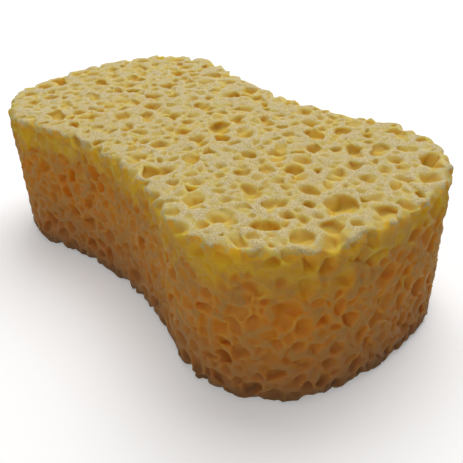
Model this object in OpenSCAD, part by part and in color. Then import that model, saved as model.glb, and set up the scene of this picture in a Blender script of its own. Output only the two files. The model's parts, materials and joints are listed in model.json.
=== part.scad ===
// Bone-shaped cellulose sponge, cut from one block of open-pored foam.
// The origin is the centre of the underside, X runs along the length and Z points up.

/* [Body] */
// Length from end to end
length = 190; // [170:1:210]
// Width across each lobe
lobe_width = 104; // [98:1:114]
// Width across the waist, where the hand grips
waist_width = 85; // [76:1:92]
// Height of the block
height = 58; // [40:1:75]
// Radius of the four lobe corners
corner_radius = 37; // [32:1:42]
// Radius of the slightly bowed ends
end_radius = 108; // [90:1:150]

/* [Pores] */
// Radius of the widest pore placed by hand
pore_widest = 4.5; // [4:0.1:5]
// Radius of the widest scattered pore
pore_max = 3.7; // [3:0.1:4.5]
// Radius of the finest pore that is cut
pore_min = 1.9; // [1.6:0.1:2.2]
// Thinnest wall between two pores that stay apart
pore_wall = 1.2; // [0.6:0.1:2]
// Number of places tried for scattered pores
pore_tries = 1400; // [200:100:2000]
// Seed of the scatter
pore_seed = 4; // [1:1:99]

/* [Hidden] */

// The widest pores of the upper face. Percent of the half length, of the half width and of
// pore_widest. Two that are listed side by side often run together.
FACE_PORES = [
    [82, -17, 100], [94, -45, 90], [89, -38, 70], [8, 5, 85], [12, -1, 75], [25, -43, 85],
    [25, -64, 65], [10, -66, 60], [11, -73, 50], [48, -73, 80], [50, -59, 50], [64, -61, 55],
    [73, -66, 50], [59, -45, 65], [38, 43, 65], [42, 41, 65], [59, 44, 70], [65, 57, 65],
    [67, 50, 65], [71, 66, 60], [73, 72, 50], [59, 84, 65], [44, 75, 55], [33, 30, 60],
    [25, -8, 60], [18, 12, 50], [12, -21, 65], [17, -22, 60], [-4, -8, 55], [-14, -10, 70],
    [-10, -15, 50], [-29, -10, 75], [-39, 4, 70], [-39, -16, 65], [-24, 22, 60], [-10, 20, 60],
    [0, 38, 60], [-44, 46, 55], [-48, 48, 50], [-28, 69, 65], [-75, -8, 60], [-58, -15, 50],
    [-59, -31, 70], [-55, -34, 60], [-60, -55, 55], [-56, -57, 55], [-45, -58, 65],
    [-52, -72, 65], [-47, -73, 70], [-70, -73, 55], [-18, -26, 60], [-15, -48, 65],
    [0, -48, 50], [2, -64, 50], [69, -17, 60], [63, -25, 50], [76, -31, 50], [81, -44, 45],
    [87, 4, 60], [86, -2, 50], [69, 4, 70], [68, 26, 65], [77, 19, 60], [86, 33, 60],
    [80, 45, 55], [90, 47, 65], [53, 6, 65], [37, -12, 60], [39, 12, 55], [26, 35, 50],
    [95, -12, 45], [35, -73, 50],
];

// The widest pores of the wall. Percent of the half length and of the half width, which only
// steer a pore onto the wall, then percent of the height and of pore_widest.
WALL_PORES = [
    [78, -91, 62, 80], [75, -94, 78, 55], [67, -98, 47, 55], [68, -98, 40, 55],
    [79, -90, 34, 70], [87, -79, 33, 60], [93, -66, 28, 75], [84, -83, 19, 55],
    [95, -57, 36, 45], [91, -71, 48, 50], [97, -46, 48, 50], [97, -46, 24, 55],
    [98, -43, 60, 60], [95, -57, 66, 50], [89, -75, 58, 65], [100, -10, 66, 90],
    [100, 11, 58, 75], [100, -14, 41, 75], [100, 7, 41, 60], [99, -20, 25, 55],
    [100, 13, 25, 60], [99, -22, 82, 60], [89, -75, 80, 55], [84, -85, 76, 55],
    [58, -100, 33, 50], [62, -100, 12, 55], [24, -85, 13, 60], [28, -87, 15, 50],
    [75, -94, 92, 60], [67, -99, 90, 60], [-12, -83, 79, 75], [-6, -82, 60, 55],
    [-25, -86, 60, 55], [-11, -83, 18, 80], [7, -82, 57, 50], [13, -83, 48, 60],
    [14, -83, 79, 60], [-31, -88, 79, 55],
    // On the upper rim.
    [83, -85, 98, 60], [91, -71, 98, 70], [18, -84, 98, 60], [-8, -82, 98, 60],
    [-22, -85, 97, 70], [27, -86, 98, 65], [36, -90, 97, 60], [43, -94, 98, 55],
    [31, 88, 98, 70], [43, 94, 98, 48], [-36, 90, 97, 65],
    // On the lower rim.
    [83, -85, 0, 60], [94, -61, 1, 55], [97, -45, 1, 45], [-25, -86, 1, 75],
];

// Share of its radius by which a pore's centre lies outside its face, which makes it a bowl.
RISE = 0.15;
// Share of the scattered pores that is tried on the wall.
WALL_SHARE = 0.5;
// Pores cut together in one pass.
BATCH = 24;
// Longest chord of the outline's arcs.
CHORD = 4;
// Radius of the plain patch left in the middle of the upper and lower faces.
LAND = 3;
// Closest that a pore comes to touching a face from inside without breaking it.
GRAZE = 0.35;
// Two pores that run together do so between these shares of their radii added up.
MERGE_CLOSE = 0.6;
MERGE_FAR = 0.86;
// Sizes fall from widest to finest along the scatter by this power.
SIZE_POWER = 1.5;

// Centres of the arcs that make one quarter of the outline.
corner_y = lobe_width / 2 - corner_radius;
end_x = length / 2 - end_radius;
corner_x = end_x + sqrt(pow(end_radius - corner_radius, 2) - pow(corner_y, 2));
waist_drop = waist_width / 2 - corner_y;
waist_radius = (pow(corner_x, 2) + pow(waist_drop, 2) - pow(corner_radius, 2))
    / (2 * (corner_radius - waist_drop));
waist_y = waist_width / 2 + waist_radius;

// Directions in which one arc passes into the next.
end_turn = atan2(corner_y, corner_x - end_x);
waist_turn = atan2(waist_y - corner_y, -corner_x);

function arc(centre, radius, from, to) =
    let (steps = ceil(abs(to - from) * PI / 180 * radius / CHORD))
    [for (i = [0:steps - 1]) let (a = from + (to - from) * i / steps) centre + radius * [cos(a), sin(a)]];

quarter = concat(
    arc([end_x, 0], end_radius, 0, end_turn),
    arc([corner_x, corner_y], corner_radius, end_turn, 90),
    arc([corner_x, corner_y], corner_radius, 90, waist_turn),
    arc([0, waist_y], waist_radius, waist_turn - 180, -90),
    [[0, waist_width / 2]]
);
half = concat(quarter, [for (i = [len(quarter) - 2:-1:0]) [-quarter[i].x, quarter[i].y]]);
outline = concat(half, [for (i = [len(half) - 2:-1:1]) [half[i].x, -half[i].y]]);

// The centre of the arc that faces a point, and 1 for a bowed arc or -1 for the hollow waist.
function facing(q) =
    cross([corner_x, corner_y - waist_y], [q.x, q.y - waist_y]) < 0 ? [0, waist_y, waist_radius, -1] :
    cross([corner_x - end_x, corner_y], [q.x - end_x, q.y]) < 0 ? [end_x, 0, end_radius, 1] :
    [corner_x, corner_y, corner_radius, 1];

// How far a point lies outside the wall, and the wall's outward direction there.
function outside(p) =
    let (q = [abs(p.x), abs(p.y)], c = facing(q))
    c[3] * (norm(q - [c.x, c.y]) - c[2]);
function outward(p) =
    let (q = [abs(p.x), abs(p.y)], c = facing(q), d = c[3] * (q - [c.x, c.y]) / norm(q - [c.x, c.y]))
    [p.x < 0 ? -d.x : d.x, p.y < 0 ? -d.y : d.y];
function beyond_flats(p) = abs(p.z - height / 2) - height / 2;

// A pore is [x, y, z, radius].
function spot(share) = [share.x * length / 200, share.y * lobe_width / 200];
function on_flat(at, upper, radius) =
    [at.x, at.y, upper ? height + RISE * radius : -RISE * radius, radius];
function on_wall(at, z, radius) =
    let (q = at - (outside(at) - RISE * radius) * outward(at)) [q.x, q.y, z, radius];

function breaks_flat(p) = beyond_flats(p) + p[3] > 0;
function breaks_wall(p) = outside(p) + p[3] > 0;
function grazes(p) = abs(beyond_flats(p) + p[3]) < GRAZE || abs(outside(p) + p[3]) < GRAZE;

// A pore on a rim stays within the overall length and width, so that both still measure true.
function keeps_size(p) =
    !on_rim(p) || (abs(p.x) + p[3] < length / 2 && abs(p.y) + p[3] < lobe_width / 2);

function clears_land(p) = !breaks_flat(p) || norm([p.x, p.y]) > LAND + p[3];

function seats(p) =
    let (lift = max(outside(p), beyond_flats(p)))
    lift < RISE * p[3] + 0.01 && !grazes(p) && keeps_size(p) && clears_land(p);

// Pores stay apart by a wall, or two of them run well into each other, one of them at most on a
// rim. Larger groups would cut chips loose.
function gap(p, k) = norm([p.x - k.x, p.y - k.y, p.z - k.z]);
function near(p, kept) = [for (k = kept) if (k != p && gap(p, k) < p[3] + k[3] + pore_wall) k];
function on_rim(p) = breaks_flat(p) && breaks_wall(p);
function pairs(p, k) =
    let (share = gap(p, k) / (p[3] + k[3]))
    share > MERGE_CLOSE && share < MERGE_FAR && !(on_rim(p) && on_rim(k));
function fits(p, kept) =
    let (others = near(p, kept))
    len(others) == 0 || (len(others) == 1 && pairs(p, others[0]) && len(near(others[0], kept)) == 0);
function settle(tried) =
    [for (i = 0, kept = []; i <= len(tried);
        kept = i < len(tried) && fits(tried[i], kept) ? concat(kept, [tried[i]]) : kept,
        i = i + 1) if (i == len(tried)) kept][0];

placed = concat(
    [for (f = FACE_PORES) on_flat(spot(f), true, f[2] / 100 * pore_widest)],
    [for (w = WALL_PORES) on_wall(spot(w), w[2] / 100 * height, w[3] / 100 * pore_widest)]
);
dice = rands(0, 1, 4 * pore_tries, pore_seed);
scattered = [
    for (i = [0:pore_tries - 1])
        let (radius = pore_min + (pore_max - pore_min) * pow(1 - i / pore_tries, SIZE_POWER))
        let (at = spot([200 * dice[4 * i] - 100, 200 * dice[4 * i + 1] - 100]), toss = dice[4 * i + 2])
        dice[4 * i + 3] < WALL_SHARE ? on_wall(at, toss * height, radius) : on_flat(at, toss < 0.5, radius)
];
pores = settle([for (p = concat(placed, scattered)) if (seats(p)) p]);

// A pore's pole points out of the face that it opens on.
module pore(p) {
    n = outward(p);
    translate([p.x, p.y, p.z])
        rotate(breaks_flat(p) ? [0, 0, 0] : [0, 90, atan2(n.y, n.x)])
            sphere(r = p[3], $fn = 20);
}

// The block with the first `count` pores cut, one batch after another.
module porous_block(count) {
    if (count <= 0) linear_extrude(height) polygon(outline);
    else difference() {
        porous_block(count - BATCH);
        for (i = [max(0, count - BATCH):count - 1]) pore(pores[i]);
    }
}

module sponge() {
    color([0.87, 0.77, 0.46]) porous_block(len(pores));
}

sponge();
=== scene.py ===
"""The looks of the bone-shaped cleaning sponge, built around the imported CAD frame.

The shape code and the camera's place are in millimetres and are handed to Blender in metres. The
lamps, the floor and the shader's own distances are written in metres.
"""

import json
import math

import bmesh
import bpy
import numpy as np
import openvdb
from mathutils import Matrix, Vector
from mathutils.kdtree import KDTree

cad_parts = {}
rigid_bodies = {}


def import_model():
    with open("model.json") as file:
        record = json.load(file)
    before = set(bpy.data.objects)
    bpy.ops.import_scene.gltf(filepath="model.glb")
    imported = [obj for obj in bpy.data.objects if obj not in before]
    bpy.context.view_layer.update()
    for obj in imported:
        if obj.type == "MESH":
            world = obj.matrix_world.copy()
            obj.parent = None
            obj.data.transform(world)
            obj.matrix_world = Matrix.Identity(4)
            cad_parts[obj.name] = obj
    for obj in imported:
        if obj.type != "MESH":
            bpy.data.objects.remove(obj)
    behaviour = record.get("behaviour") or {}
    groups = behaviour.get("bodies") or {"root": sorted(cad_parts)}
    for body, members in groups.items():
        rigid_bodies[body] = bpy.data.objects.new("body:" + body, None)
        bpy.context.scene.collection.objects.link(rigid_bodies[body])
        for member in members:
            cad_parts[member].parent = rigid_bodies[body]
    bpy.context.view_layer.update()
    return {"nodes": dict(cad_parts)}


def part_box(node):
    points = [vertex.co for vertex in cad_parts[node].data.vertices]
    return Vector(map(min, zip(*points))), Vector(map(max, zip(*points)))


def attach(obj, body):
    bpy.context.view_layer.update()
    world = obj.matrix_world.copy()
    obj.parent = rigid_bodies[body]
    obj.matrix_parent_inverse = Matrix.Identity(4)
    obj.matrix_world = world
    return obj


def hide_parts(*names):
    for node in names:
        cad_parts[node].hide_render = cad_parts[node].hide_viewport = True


for leftover in list(bpy.data.objects):
    bpy.data.objects.remove(leftover)
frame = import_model()

MM = 0.001
LOW, HIGH = (np.array(corner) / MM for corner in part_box("sponge"))
HALF_LENGTH = (HIGH[0] - LOW[0]) / 2
HALF_WIDTH = (HIGH[1] - LOW[1]) / 2
HEIGHT = HIGH[2] - LOW[2]

# The outline's own radii, which the box doesn't tell.
HALF_WAIST = 42.5
CORNER_RADIUS = 37.0
END_RADIUS = 108.0

VOXEL = 0.5
BAND_VOXELS = 4
BAND = BAND_VOXELS * VOXEL
MARGIN = 2.0
TRIANGLES = 196000

# Wear of the outer faces: the radius of the rims, how far in from them the foam has crumbled, and
# how deep it is torn between its ridges. Walls are torn by TEAR + TEAR_SWING and flats by
# TEAR - TEAR_SWING, with FACE_CHANGE between them, and RIM_TEAR comes on top at the rims.
ROUNDING = 2.8
CRUMBLE = 5.0
TEAR = 0.3
TEAR_SWING = 0.1
FACE_CHANGE = 3.0
RIM_TEAR = 0.6

# How far the creases between faces and pores, and between one pore and the next, are blunted.
BLUNT_MOUTHS = 0.8
BLUNT_PORES = 0.35

# ---------------------------------------------------------------- outline

CORNER_Y = HALF_WIDTH - CORNER_RADIUS
END_X = HALF_LENGTH - END_RADIUS
CORNER_X = END_X + math.sqrt((END_RADIUS - CORNER_RADIUS) ** 2 - CORNER_Y**2)
WAIST_DROP = HALF_WAIST - CORNER_Y
WAIST_RADIUS = (CORNER_X**2 + WAIST_DROP**2 - CORNER_RADIUS**2) / (
    2 * (CORNER_RADIUS - WAIST_DROP)
)
WAIST_Y = HALF_WAIST + WAIST_RADIUS


def outline(x, y):
    """How far points lie outside the wall, and the wall's outward direction at each."""
    qx, qy = np.abs(x), np.abs(y)
    waist = CORNER_X * (qy - WAIST_Y) - (CORNER_Y - WAIST_Y) * qx < 0
    end = (CORNER_X - END_X) * qy - CORNER_Y * (qx - END_X) < 0
    cx = np.where(waist, 0.0, np.where(end, END_X, CORNER_X))
    cy = np.where(waist, WAIST_Y, np.where(end, 0.0, CORNER_Y))
    radius = np.where(waist, WAIST_RADIUS, np.where(end, END_RADIUS, CORNER_RADIUS))
    side = np.where(waist, -1.0, 1.0)
    dx, dy = qx - cx, qy - cy
    d = np.maximum(np.hypot(dx, dy), 1e-9)
    return (
        side * (d - radius),
        side * dx / d * np.where(x < 0, -1, 1),
        side * dy / d * np.where(y < 0, -1, 1),
    )


def beyond_flats(z):
    return np.abs(z - HEIGHT / 2) - HEIGHT / 2


def rounded_block(outside, z, rounding):
    """Signed distance to the uncut block, whose rims are rounded."""
    a, b = outside + rounding, beyond_flats(z) + rounding
    return (
        np.minimum(np.maximum(a, b), 0)
        + np.hypot(np.maximum(a, 0), np.maximum(b, 0))
        - rounding
    )


def blunt_max(a, b, width):
    """The larger of two fields, with the crease between them rounded over that width."""
    return np.maximum(a, b) + np.maximum(width - np.abs(a - b), 0) ** 2 / (4 * width)


def waves(points, count, shortest, longest, seed, components=3):
    """Smooth noise about 0, with a spread of about 1 in each component."""
    dice = np.random.default_rng(seed)
    out = np.zeros((len(points), components))
    for axis in range(components):
        for _ in range(count):
            direction = dice.normal(size=3)
            direction *= 2 * math.pi / dice.uniform(shortest, longest) / np.linalg.norm(direction)
            out[:, axis] += np.sin(points @ direction + dice.uniform(0, 2 * math.pi))
    return out / math.sqrt(count / 2)


def torn_block(points):
    """Signed distance to the uncut block with its faces torn rather than cut.

    They sink a little between their ridges, the walls more than the flats, and the rims crumble.
    """
    outside, beyond = outline(points[:, 0], points[:, 1])[0], beyond_flats(points[:, 2])
    at_rim = np.clip(1 + np.minimum(outside, beyond) / CRUMBLE, 0, 1)
    tear = TEAR + TEAR_SWING * np.clip((outside - beyond) / FACE_CHANGE, -1, 1)
    fine = waves(points, count=10, shortest=2.5, longest=6.0, seed=30, components=1)[:, 0]
    broad = waves(points, count=10, shortest=4.0, longest=10.0, seed=31, components=1)[:, 0]
    return (
        rounded_block(outside, points[:, 2], ROUNDING)
        + tear * np.maximum(fine, 0)
        + RIM_TEAR * at_rim * np.maximum(broad, 0)
    )


# ---------------------------------------------------------------- the CAD solid as a field

cad = frame["nodes"]["sponge"].data
cad.calc_loop_triangles()
cad_points = np.zeros(len(cad.vertices) * 3, np.float32)
cad.vertices.foreach_get("co", cad_points)
cad_points = cad_points.reshape(-1, 3) / MM
cad_faces = np.zeros(len(cad.loop_triangles) * 3, np.int32)
cad.loop_triangles.foreach_get("vertices", cad_faces)

# The grid's first voxel and its size in voxels, with a margin of air all round.
FIRST = np.floor((np.array([-HALF_LENGTH, -HALF_WIDTH, 0.0]) - MARGIN) / VOXEL).astype(int)
LAST = np.ceil((np.array([HALF_LENGTH, HALF_WIDTH, HEIGHT]) + MARGIN) / VOXEL).astype(int)
SHAPE = tuple(int(n) for n in LAST - FIRST + 1)
GRID_START = tuple(int(i) for i in FIRST)
grid_place = openvdb.createLinearTransform(voxelSize=VOXEL)
solid = openvdb.FloatGrid.createLevelSetFromPolygons(
    cad_points,
    triangles=cad_faces.reshape(-1, 3).astype(np.uint32),
    transform=grid_place,
    halfWidth=float(BAND_VOXELS),
)
cad_field = np.full(SHAPE, BAND, np.float32)
solid.copyToArray(cad_field, ijk=GRID_START)

xs, ys, zs = (VOXEL * (FIRST[i] + np.arange(SHAPE[i])) for i in range(3))
wall_out, wall_x, wall_y = outline(*np.meshgrid(xs, ys, indexing="ij"))

# A pore keeps its width right up to its mouth: near a face, the field is read a little deeper.
READ_DEPTH = 0.5
WIDEN = 0.25
z_from = np.clip(
    np.arange(SHAPE[2]),
    math.ceil(READ_DEPTH / VOXEL) - FIRST[2],
    math.floor((HEIGHT - READ_DEPTH) / VOXEL) - FIRST[2],
)
field = cad_field[:, :, z_from]
rim_i, rim_j = np.nonzero((wall_out > -READ_DEPTH) & (wall_out < 2 * MARGIN))
step = wall_out[rim_i, rim_j] + READ_DEPTH
at_x = (xs[rim_i] - step * wall_x[rim_i, rim_j]) / VOXEL - FIRST[0]
at_y = (ys[rim_j] - step * wall_y[rim_i, rim_j]) / VOXEL - FIRST[1]
i0, j0 = np.floor(at_x).astype(int), np.floor(at_y).astype(int)
u, v = (at_x - i0)[:, None], (at_y - j0)[:, None]
deeper = (
    (1 - u) * (1 - v) * field[i0, j0]
    + u * (1 - v) * field[i0 + 1, j0]
    + (1 - u) * v * field[i0, j0 + 1]
    + u * v * field[i0 + 1, j0 + 1]
)
field[rim_i, rim_j] = deeper
field += WIDEN
air = field.copy()
block = rounded_block(wall_out[:, :, None], zs[None, None, :], ROUNDING)

# The wear is worked out only for voxels near the block's faces.
SKIN_INSIDE = 3.0
SKIN_OUTSIDE = 2.0
skin = np.nonzero((block > -SKIN_INSIDE) & (block < SKIN_OUTSIDE))
block[skin] = torn_block(np.column_stack([xs[skin[0]], ys[skin[1]], zs[skin[2]]]))
field = blunt_max(field, block, BLUNT_MOUTHS).astype(np.float32)

# ---------------------------------------------------------------- finer pores

# Points of the CAD pores' own surfaces, which lie deeper than SUNK, to keep the finer pores a wall
# away from them.
SUNK = 0.12
cad_outside = outline(cad_points[:, 0], cad_points[:, 1])[0]
sunk = cad_points[np.maximum(cad_outside, beyond_flats(cad_points[:, 2])) < -SUNK]
wide_pores = KDTree(len(sunk))
for index, point in enumerate(sunk):
    wide_pores.insert(point, index)
wide_pores.balance()

rng = np.random.default_rng(5)
TRIES = 600000
MOST_STRETCH = 1.15
# A pore is cut in a box that reaches this many radii to each side of its centre.
BOX_REACH = 1.5
# Mouths are looked up by cubes of this side, in a point's own cube and in those around it.
CELL = 7.0
taken = {}
# Where the CAD solid's field is above this, a mouth would open into a CAD pore.
OPEN_AIR = -0.2
# Points are drawn this near to a face. A rim's points are nearer than RIM to two of them, and
# their pores face half sideways and half up or down.
NEAR_FACE = 1.0
RIM = 2.0
RIM_LEVEL = 0.7
RIM_UP = 0.714


def face_points():
    """Points spread evenly over the outer faces: place, outward direction, and kind of face."""
    reach = np.array([HALF_LENGTH, HALF_WIDTH, HEIGHT / 2]) + NEAR_FACE
    x, y, z = (rng.uniform(-1, 1, (TRIES, 3)) * reach).T
    out, nx, ny = outline(x, y)
    up, beyond = np.sign(z), np.abs(z) - HEIGHT / 2
    kind = np.where(np.minimum(out, beyond) > -RIM, "rim", np.where(out > beyond, "wall", "flat"))
    aside = np.where(kind == "flat", 0.0, out)
    height = np.where(kind == "wall", z, up * HEIGHT / 2) + HEIGHT / 2
    place = np.array([x - aside * nx, y - aside * ny, height])
    level = np.select([kind == "wall", kind == "rim"], [1.0, RIM_LEVEL])
    upward = np.select([kind == "flat", kind == "rim"], [1.0, RIM_UP]) * up
    outward = np.array([level * nx, level * ny, upward])
    near = np.abs(np.maximum(out, beyond)) < NEAR_FACE
    return place.T[near], outward.T[near], kind[near]


def cell(place):
    return tuple(math.floor(c / CELL) for c in place)


def clearance(place):
    """Distance from a point on a face to the nearest pore mouth."""
    i, j, k = (int(round(c / VOXEL)) - int(f) for c, f in zip(place, FIRST))
    if air[i, j, k] > OPEN_AIR:
        return 0.0
    clear = wide_pores.find(place)[2] - WIDEN
    i, j, k = cell(place)
    for di in (-1, 0, 1):
        for dj in (-1, 0, 1):
            for dk in (-1, 0, 1):
                for other, mouth in taken.get((i + di, j + dj, k + dk), ()):
                    clear = min(clear, math.dist(place, other) - mouth)
    return clear


def carve(centre, outward, radius, stretch, tilt):
    """Cuts one oval pore out of the field. Along the outward direction it keeps the radius."""
    reach = radius * BOX_REACH + VOXEL
    lo = [max(0, int((c - reach) / VOXEL) - int(f)) for c, f in zip(centre, FIRST)]
    hi = [min(n, int((c + reach) / VOXEL) - int(f) + 2) for c, f, n in zip(centre, FIRST, SHAPE)]
    x = xs[lo[0] : hi[0], None, None] - centre[0]
    y = ys[None, lo[1] : hi[1], None] - centre[1]
    z = zs[None, None, lo[2] : hi[2]] - centre[2]
    if abs(outward[2]) > RIM_UP:
        along, across, r = x, y, z
    else:
        level = math.hypot(outward[0], outward[1])
        side_x, side_y = -outward[1] / level, outward[0] / level
        along = x * side_x + y * side_y
        r = x * outward[0] + y * outward[1] + z * outward[2]
        across = z * level - (x * outward[0] + y * outward[1]) * outward[2] / level
    p = along * math.cos(tilt) + across * math.sin(tilt)
    q = across * math.cos(tilt) - along * math.sin(tilt)
    cut = radius - np.sqrt((p / stretch) ** 2 + (q * stretch) ** 2 + r**2)
    part = field[lo[0] : hi[0], lo[1] : hi[1], lo[2] : hi[2]]
    part[...] = blunt_max(part, cut, BLUNT_PORES)


# For each kind of face: the mouths' smallest and largest radius and the power that skews their
# sizes, the walls between mouths, and how deep the pores' centres sit, as shares of their radius.
PORES = {
    "rim": ((1.0, 3.8, 1.0), (0.1, 0.7), (-0.1, 0.35)),
    "wall": ((1.0, 3.6, 0.8), (0.15, 0.5), (0.0, 0.35)),
    "flat": ((0.7, 2.7, 1.1), (0.25, 0.7), (-0.15, 0.35)),
}
places, outwards, kinds = face_points()
# The rims' pores come first, so that no others take their room.
for chosen in (kinds == "rim", kinds != "rim"):
    for place, outward, kind in zip(places[chosen], outwards[chosen], kinds[chosen]):
        (smallest, largest, power), walls, sinks = PORES[kind]
        wanted = smallest + (largest - smallest) * rng.uniform() ** power
        mouth = min(wanted, clearance(place) - rng.uniform(*walls))
        if mouth < smallest:
            continue
        taken.setdefault(cell(place), []).append((place, mouth))
        sink = rng.uniform(*sinks)
        radius = mouth / math.sqrt(1 - sink**2)
        stretch = rng.uniform(1.0, MOST_STRETCH)
        tilt = rng.uniform(0, math.pi)
        carve(place - sink * radius * outward, outward, radius, stretch, tilt)

# ---------------------------------------------------------------- the sponge's mesh

# Worn soft: all edges are rounded a little.
for axis in range(3):
    ahead, behind = (np.roll(field, shift, axis) for shift in (1, -1))
    field = (0.25 * ahead + 0.5 * field + 0.25 * behind).astype(np.float32)

shaped = openvdb.FloatGrid(BAND)
shaped.transform = grid_place
shaped.copyFromArray(np.clip(field, -BAND, BAND), ijk=GRID_START)
points, _, quads = shaped.convertToPolygons(isovalue=0.0, adaptivity=0.0)
points = points.astype(np.float64)

# Chips cut loose between pores, and bubbles that reach no face, are left out.
shell = np.arange(len(points))
while True:
    least = shell[quads].min(1)
    before = shell.copy()
    for corner in range(4):
        np.minimum.at(shell, quads[:, corner], least)
    shell = shell[shell]
    if (shell == before).all():
        break
shells, sizes = np.unique(shell, return_counts=True)
quads = quads[shell[quads[:, 0]] == shells[sizes.argmax()]]
used, renumbered = np.unique(quads, return_inverse=True)
points, quads = points[used], renumbered.reshape(-1, 4)

# Uneven growth bends the pores out of round without moving the outer faces.
FINE_BEND = 0.42
BROAD_BEND = 0.5
STILL_DEPTH = 3.0
fine_bend = waves(points, count=14, shortest=3.5, longest=7.5, seed=21)
broad_bend = waves(points, count=8, shortest=9.0, longest=16.0, seed=22)
push = FINE_BEND * fine_bend + BROAD_BEND * broad_bend
out, nx, ny = outline(points[:, 0], points[:, 1])
on_flat = np.clip(1 + beyond_flats(points[:, 2]) / STILL_DEPTH, 0, 1)
on_wall = np.clip(1 + out / STILL_DEPTH, 0, 1)
push[:, 2] *= 1 - on_flat
outward_push = push[:, 0] * nx + push[:, 1] * ny
push[:, 0] -= on_wall * outward_push * nx
push[:, 1] -= on_wall * outward_push * ny
points += push

# Each quad is split along its shorter diagonal.
a, b, c, d = (points[quads[:, i]] for i in range(4))
across = (((a - c) ** 2).sum(1) <= ((b - d) ** 2).sum(1))[:, None]
faces = np.concatenate(
    [
        np.where(across, quads[:, [0, 1, 2]], quads[:, [0, 1, 3]]),
        np.where(across, quads[:, [0, 2, 3]], quads[:, [1, 2, 3]]),
    ]
).astype(np.int32)

mesh = bpy.data.meshes.new("sponge_foam")
mesh.vertices.add(len(points))
mesh.vertices.foreach_set("co", (points * MM).astype(np.float32).ravel())
mesh.loops.add(faces.size)
mesh.loops.foreach_set("vertex_index", faces.ravel())
mesh.polygons.add(len(faces))
mesh.polygons.foreach_set("loop_start", np.arange(0, faces.size, 3, dtype=np.int32))
mesh.update(calc_edges=True)
mesh.validate()
sponge = bpy.data.objects.new("sponge_foam", mesh)
bpy.context.scene.collection.objects.link(sponge)

soften = sponge.modifiers.new("soften", "SMOOTH")
soften.factor = 0.5
soften.iterations = 2
thin = sponge.modifiers.new("thin", "DECIMATE")
thin.ratio = min(1.0, TRIANGLES / len(faces))
evaluated = sponge.evaluated_get(bpy.context.evaluated_depsgraph_get())
thinned = bpy.data.meshes.new_from_object(evaluated)
sponge.modifiers.clear()
sponge.data = thinned

# Blades thinner than the grid came out folded over: they're drawn in.
FOLD_ANGLE = math.radians(100)
FOLD_ROUNDS = 10
folds = bmesh.new()
folds.from_mesh(thinned)
for _ in range(FOLD_ROUNDS):
    folded = {v for e in folds.edges if e.calc_face_angle(0) > FOLD_ANGLE for v in e.verts}
    bmesh.ops.smooth_vert(
        folds, verts=list(folded), factor=0.5, use_axis_x=True, use_axis_y=True, use_axis_z=True
    )
    folds.normal_update()
folds.to_mesh(thinned)
folds.free()
thinned.shade_smooth()

# What the materials read at each point: its depth under the torn faces, how far it belongs to the
# wall, which reaches round the lower rim to take the wall's painted shade there, rather than to a
# flat, and its height.
TURN_WIDTH = 6.0
points = np.zeros(len(thinned.vertices) * 3, np.float32)
thinned.vertices.foreach_get("co", points)
points = points.reshape(-1, 3).astype(np.float64) / MM
z = points[:, 2]
outside = outline(points[:, 0], points[:, 1])[0]
side = np.clip(0.5 + (outside - beyond_flats(z)) / TURN_WIDTH + 0.5 * (z < HEIGHT / 2), -1, 2)
for name, values in (("depth", -torn_block(points)), ("side", side), ("level", z)):
    layer = thinned.attributes.new(name, "FLOAT", "POINT")
    layer.data.foreach_set("value", values.astype(np.float32))

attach(sponge, "root")
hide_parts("sponge")

# ---------------------------------------------------------------- materials

# Linear colours of the flats' lands and pores, of the wall's ridges and hollows, and of the painted
# contact shadow at the foot.
LAND = (0.66, 0.54, 0.29)
LAND_GAP = (0.44, 0.31, 0.10)
LAND_GRAIN = (0.90, 0.80, 0.55)
SHALLOW_PORE = (0.64, 0.50, 0.13)
# The deep pores' colour is painted shade: darker, deeper amber at the pores' bottoms.
DEEP_PORE_SHADE = (0.70, 0.44, 0.03)
LAND_BLOTCH = (0.62, 0.46, 0.14)
# The wall's colours are darker and more orange than the flats', partly for the foam's outer skin
# and partly as painted shade; its top colours are a painted glow of light through the foam under
# the upper rim, and its low colours painted shade.
RIDGE_GLOW = (0.88, 0.48, 0.05)
RIDGE_MIDDLE = (0.63, 0.31, 0.07)
RIDGE_SHADE = (0.48, 0.22, 0.075)
RIDGE_GAP = (0.42, 0.20, 0.06)
HOLLOW_GLOW = (0.86, 0.56, 0.015)
HOLLOW_MIDDLE = (0.76, 0.30, 0.012)
HOLLOW_SHADE = (0.50, 0.18, 0.025)
WALL_BLOTCH = (0.50, 0.27, 0.08)
# The foot's colour is a painted contact shadow.
FOOT_SHADOW = (0.18, 0.09, 0.035)

foam = bpy.data.materials.new("cellulose_foam")
foam.use_nodes = True
nodes, links = foam.node_tree.nodes, foam.node_tree.links
shader = nodes["Principled BSDF"]


def put(socket, value):
    """Links an output to the socket, or sets a number or a colour on it."""
    if isinstance(value, bpy.types.NodeSocket):
        links.new(value, socket)
    elif isinstance(value, tuple):
        socket.default_value = (*value, 1.0)
    else:
        socket.default_value = value


def attribute(name):
    item = nodes.new("ShaderNodeAttribute")
    item.attribute_name = name
    return item.outputs["Fac"]


def between(value, low, high, to_low=0.0, to_high=1.0):
    """Smoothly from to_low, where value is low, to to_high, where it is high."""
    item = nodes.new("ShaderNodeMapRange")
    item.interpolation_type = "SMOOTHSTEP"
    put(item.inputs["Value"], value)
    item.inputs["From Min"].default_value = low
    item.inputs["From Max"].default_value = high
    item.inputs["To Min"].default_value = to_low
    item.inputs["To Max"].default_value = to_high
    return item.outputs["Result"]


def math_node(operation, a, b):
    item = nodes.new("ShaderNodeMath")
    item.operation = operation
    put(item.inputs[0], a)
    put(item.inputs[1], b)
    return item.outputs["Value"]


def mix(factor, a, b):
    """From colour a to colour b. A mix node's colour sockets are its inputs 6 and 7."""
    item = nodes.new("ShaderNodeMix")
    item.data_type = "RGBA"
    put(item.inputs[0], factor)
    put(item.inputs[6], a)
    put(item.inputs[7], b)
    return item.outputs[2]


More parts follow.
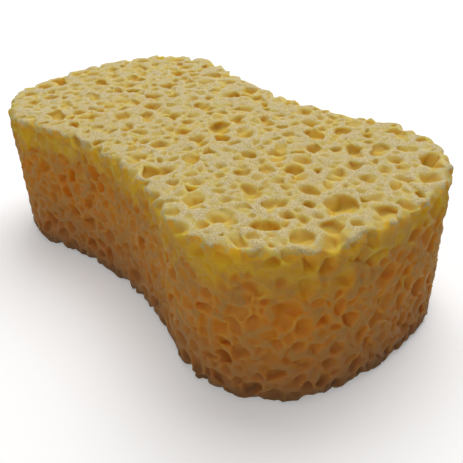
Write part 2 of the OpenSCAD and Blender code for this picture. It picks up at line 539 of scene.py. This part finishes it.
def noise(size_mm, detail=2.0, roughness=0.5):
    """Noise about 0.5, with features of that size."""
    item = nodes.new("ShaderNodeTexNoise")
    links.new(coordinates, item.inputs["Vector"])
    item.inputs["Scale"].default_value = 1 / (size_mm * MM)
    item.inputs["Detail"].default_value = detail
    item.inputs["Roughness"].default_value = roughness
    return item.outputs["Fac"]


coordinates = nodes.new("ShaderNodeTexCoord").outputs["Object"]
depth_mm = attribute("depth")
wall_side = attribute("side")
level_mm = attribute("level")

# Torn faces are dull and grainy. Below them the pores' own skins are smooth and clear, and painted
# shade makes them darker and deeper in colour the deeper they lie.
uneven_depth = math_node("ADD", depth_mm, between(noise(0.6), 0.3, 0.7, -0.15, 0.15))
grain = noise(0.45, 2.0, 0.7)
blotches = between(noise(16.0, 3.0), 0.35, 0.65, 0.0, 0.22)

# The flats are pale and granular.
in_pore = between(uneven_depth, 0.2, 0.5)
land = mix(between(grain, 0.40, 0.52, 0.55, 0.0), LAND, LAND_GAP)
land = mix(between(grain, 0.52, 0.62, 0.0, 0.5), land, LAND_GRAIN)
# Deeper down, the pores are painted darker amber as painted shade.
amber = mix(between(uneven_depth, 0.5, 2.2), SHALLOW_PORE, DEEP_PORE_SHADE)
flat = mix(blotches, mix(in_pore, land, amber), LAND_BLOTCH)

# The wall is orange, partly for its skin and partly as painted shade; yellow under the upper rim, a
# painted glow of light through the foam; and brown low down, painted shade.
# Painted shade, browner towards the bottom of the wall.
low_shade = between(level_mm, 2.0, 34.0, 1.0, 0.0)
uneven_level = math_node("ADD", level_mm, between(noise(9.0), 0.35, 0.65, -4.0, 4.0))
# A painted glow of light through the foam, in a ragged band under the upper rim.
glow_band = between(uneven_level, 40.0, 55.0)
ridge = mix(glow_band, mix(low_shade, RIDGE_MIDDLE, RIDGE_SHADE), RIDGE_GLOW)
ridge = mix(between(grain, 0.42, 0.58, 0.3, 0.0), ridge, RIDGE_GAP)
hollow = mix(glow_band, mix(low_shade, HOLLOW_MIDDLE, HOLLOW_SHADE), HOLLOW_GLOW)
# The hollows' stronger orange is partly the pores' own skin and partly a painted glow of light
# through the foam.
wall = mix(between(uneven_depth, 0.0, 1.0), ridge, hollow)
wall = mix(blotches, wall, WALL_BLOTCH)
# A painted contact shadow darkens the lowest 9 mm of the wall and the rim below it.
wall = mix(between(level_mm, 0.0, 9.0, 0.8, 0.0), wall, FOOT_SHADOW)

# The upper flat's torn edge hangs raggedly over the wall, whose painted shade and painted contact
# shadow run round the lower rim.
edge = math_node("ADD", wall_side, between(noise(4.0, 3.0), 0.3, 0.7, -0.35, 0.3))
put(shader.inputs["Base Color"], mix(between(edge, 0.6, 0.7), flat, wall))

bump = nodes.new("ShaderNodeBump")
bump.inputs["Distance"].default_value = 0.35 * MM
put(bump.inputs["Strength"], between(in_pore, 0.0, 1.0, 0.9, 0.25))
put(bump.inputs["Height"], grain)
links.new(bump.outputs["Normal"], shader.inputs["Normal"])

put(shader.inputs["Roughness"], between(in_pore, 0.0, 1.0, 0.95, 0.6))
shader.inputs["Specular IOR Level"].default_value = 0.15
put(shader.inputs["Subsurface Weight"], between(in_pore, 0.0, 1.0, 0.5, 1.0))
shader.inputs["Subsurface Radius"].default_value = (1.0, 0.75, 0.3)
shader.inputs["Subsurface Scale"].default_value = 0.006
shader.inputs["Sheen Weight"].default_value = 0.08
shader.inputs["Sheen Roughness"].default_value = 0.5

sponge.data.materials.clear()
sponge.data.materials.append(foam)

# ---------------------------------------------------------------- stage, light and camera

WHITE = (1, 1, 1, 1)
FLOOR_REACH = 3.0
FLOOR_DROP = 0.0003


def plainly_seen(tree):
    """1 for rays that see the backdrop, straight or by a shiny or clear surface, 0 for the rest."""
    path = tree.nodes.new("ShaderNodeLightPath")
    seen = path.outputs["Is Camera Ray"]
    for ray in ("Is Glossy Ray", "Is Transmission Ray"):
        either = tree.nodes.new("ShaderNodeMath")
        either.operation = "MAXIMUM"
        tree.links.new(seen, either.inputs[0])
        tree.links.new(path.outputs[ray], either.inputs[1])
        seen = either.outputs["Value"]
    return seen


floor_mesh = bpy.data.meshes.new("floor")
floor_corners = [
    (across * FLOOR_REACH, along * FLOOR_REACH, -FLOOR_DROP)
    for across, along in ((-1, -1), (1, -1), (1, 1), (-1, 1))
]
floor_mesh.from_pydata(floor_corners, [], [(0, 1, 2, 3)])
floor = bpy.data.objects.new("floor", floor_mesh)
bpy.context.scene.collection.objects.link(floor)
plain = bpy.data.materials.new("plain_floor")
plain.use_nodes = True
f_nodes, f_links = plain.node_tree.nodes, plain.node_tree.links
paint = f_nodes["Principled BSDF"]
paint.inputs["Roughness"].default_value = 0.9
seen = plainly_seen(plain.node_tree)
tone = f_nodes.new("ShaderNodeMapRange")
tone.inputs["To Min"].default_value = 0.45
tone.inputs["To Max"].default_value = 0.92
f_links.new(seen, tone.inputs["Value"])
f_links.new(tone.outputs["Result"], paint.inputs["Base Color"])
# Far from the lamps the floor glows more, to stay white up to the horizon.
away = f_nodes.new("ShaderNodeVectorMath")
away.operation = "LENGTH"
f_links.new(f_nodes.new("ShaderNodeTexCoord").outputs["Object"], away.inputs[0])
far_glow = f_nodes.new("ShaderNodeMapRange")
for name, number in (("From Min", 0.4), ("From Max", 1.4), ("To Min", 0.27), ("To Max", 0.8)):
    far_glow.inputs[name].default_value = number
f_links.new(away.outputs["Value"], far_glow.inputs["Value"])
glow = f_nodes.new("ShaderNodeMath")
glow.operation = "MULTIPLY"
f_links.new(far_glow.outputs["Result"], glow.inputs[1])
f_links.new(seen, glow.inputs[0])
f_links.new(glow.outputs["Value"], paint.inputs["Emission Strength"])
paint.inputs["Emission Color"].default_value = WHITE
floor_mesh.materials.append(plain)

world = bpy.data.worlds.new("studio")
bpy.context.scene.world = world
world.use_nodes = True
w_nodes, w_links = world.node_tree.nodes, world.node_tree.links
background = w_nodes["Background"]
background.inputs["Color"].default_value = WHITE
background.inputs["Strength"].default_value = 0.2
white = w_nodes.new("ShaderNodeBackground")
white.inputs["Color"].default_value = WHITE
white.inputs["Strength"].default_value = 1.0
chooser = w_nodes.new("ShaderNodeMixShader")
w_links.new(plainly_seen(world.node_tree), chooser.inputs[0])
w_links.new(background.outputs[0], chooser.inputs[1])
w_links.new(white.outputs[0], chooser.inputs[2])
w_links.new(chooser.outputs[0], w_nodes["World Output"].inputs["Surface"])


def area_lamp(name, place, aim, size, power):
    data = bpy.data.lights.new(name, "AREA")
    data.size = size
    data.energy = power
    lamp = bpy.data.objects.new(name, data)
    lamp.location = place
    lamp.rotation_euler = (Vector(aim) - Vector(place)).to_track_quat("-Z", "Y").to_euler()
    bpy.context.scene.collection.objects.link(lamp)


area_lamp("key", place=(-0.25, 0.40, 1.05), aim=(0, 0, 0.05), size=0.9, power=10.0)
area_lamp("fill", place=(0.45, -0.75, 0.4), aim=(0, 0, 0.03), size=0.8, power=1.45)

CAMERA_TURN, CAMERA_RISE, CAMERA_ROLL = (math.radians(a) for a in (51.42, 32.55, -2.28))
CAMERA_DISTANCE, CAMERA_RIGHT, CAMERA_UP = 250.3, 10.39, -18.16
SENSOR_WIDTH = 36.0
FOCAL_LENGTH = 47.6
back = Vector(
    (
        math.sin(CAMERA_TURN) * math.cos(CAMERA_RISE),
        -math.cos(CAMERA_TURN) * math.cos(CAMERA_RISE),
        math.sin(CAMERA_RISE),
    )
)
right = Vector((0, 0, 1)).cross(back).normalized()
up = back.cross(right)
right, up = (
    math.cos(CAMERA_ROLL) * right + math.sin(CAMERA_ROLL) * up,
    math.cos(CAMERA_ROLL) * up - math.sin(CAMERA_ROLL) * right,
)
place = back * CAMERA_DISTANCE + right * CAMERA_RIGHT + up * CAMERA_UP + Vector((0, 0, HEIGHT / 2))
camera_data = bpy.data.cameras.new("camera")
camera_data.sensor_width = SENSOR_WIDTH
camera_data.lens = FOCAL_LENGTH
camera_data.clip_start = 0.01
camera = bpy.data.objects.new("camera", camera_data)
turn = Matrix((right, up, back)).transposed().to_4x4()
camera.matrix_world = Matrix.Translation(place * MM) @ turn
bpy.context.scene.collection.objects.link(camera)
bpy.context.scene.camera = camera
bpy.context.scene.view_settings.view_transform = "Standard"
